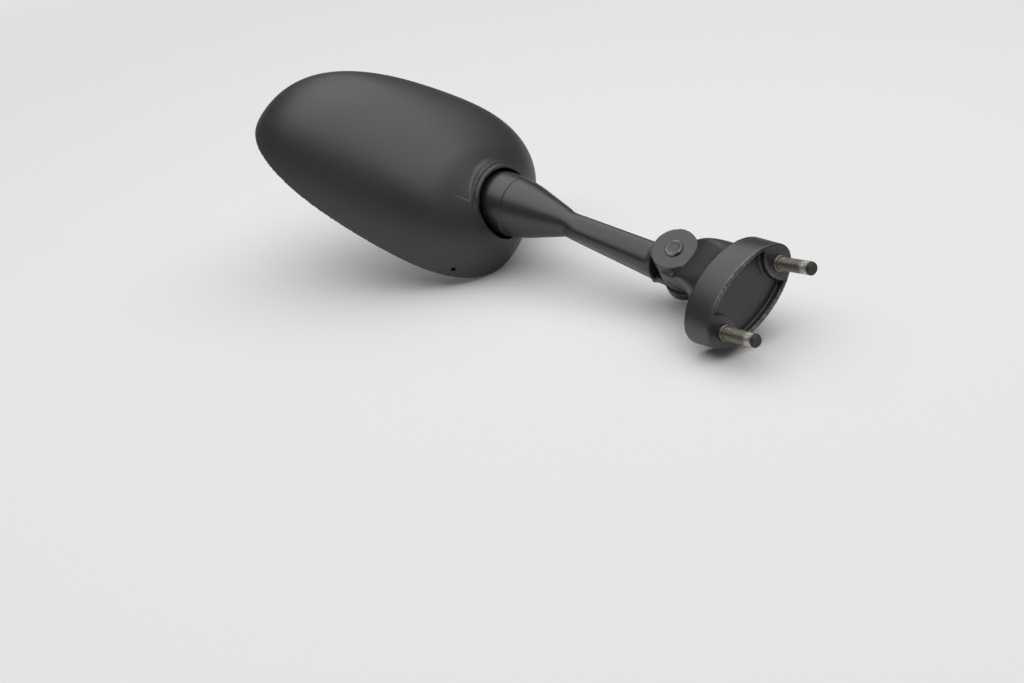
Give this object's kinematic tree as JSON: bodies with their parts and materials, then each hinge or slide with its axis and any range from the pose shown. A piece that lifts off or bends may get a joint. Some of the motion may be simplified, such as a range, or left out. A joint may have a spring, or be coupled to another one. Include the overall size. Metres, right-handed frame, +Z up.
{
  "type": "motorcycle fairing mirror",
  "caption": "Right-hand fairing mirror: studded oval foot, riveted fold hinge, tapered arm and a ball-jointed head with a convex glass in a black dome shell.",
  "frame": {"origin": "middle of the mounting face, between the studs", "axes": "+Z up as the mirror lies on its flange and the rim of its head; +X level, from the head towards the studs"},
  "size_m": [0.3043, 0.1274, 0.1017],
  "materials": {
    "foot_casting": "satin black coating on a die casting",
    "arm_casting": "satin black coating on a die casting",
    "stud_steel": "zinc plated, browned, bright where the thread is worn",
    "rivet_steel": "black coated, worn at the peened edge",
    "washer_steel": "plain steel",
    "joint_steel": "zinc plated",
    "liner_nylon": "natural nylon",
    "shell_plastic": "fine grained black",
    "plate_plastic": "black",
    "foam": "closed cell foam tape",
    "mirror": "silvered convex glass"
  },
  "bodies": {
    "base": {"base_foot": "foot_casting", "mounting_studs": "stud_steel", "pivot_rivet": "rivet_steel", "pivot_washers": "washer_steel"},
    "arm": {"arm": "arm_casting", "ball_bolt": "joint_steel", "bolt_washer": "joint_steel", "disc_springs": "joint_steel"},
    "cup": {"pressure_cup": "joint_steel"},
    "liner": {"friction_liner": "liner_nylon"},
    "head": {"housing_shell": "shell_plastic", "backing_plate": "plate_plastic", "plate_screws": "joint_steel", "foam_pad": "foam", "mirror_glass": "mirror"}
  },
  "joints": [
    {"name": "fold", "type": "hinge", "parent": "base", "child": "arm", "pos_m": [-0.04533, 0.02327, 0.00101], "axis": [0.0111, -0.5325, 0.8464], "range_deg": [-40, 40]},
    {"name": "head_roll", "type": "hinge", "parent": "arm", "child": "cup", "pos_m": [-0.15551, 0.03871, 0.01217], "axis": [-0.9866, 0.1318, 0.0958], "range_deg": [-15, 15]},
    {"name": "head_tilt", "type": "hinge", "parent": "cup", "child": "liner", "pos_m": [-0.15551, 0.03871, 0.01217], "axis": [0.145, 0.9785, 0.1466], "range_deg": [-4, 10]},
    {"name": "head_swing", "type": "hinge", "parent": "liner", "child": "head", "pos_m": [-0.15551, 0.03871, 0.01217], "axis": [0.0745, -0.1585, 0.9845], "range_deg": [-8, 8]}
  ]
}
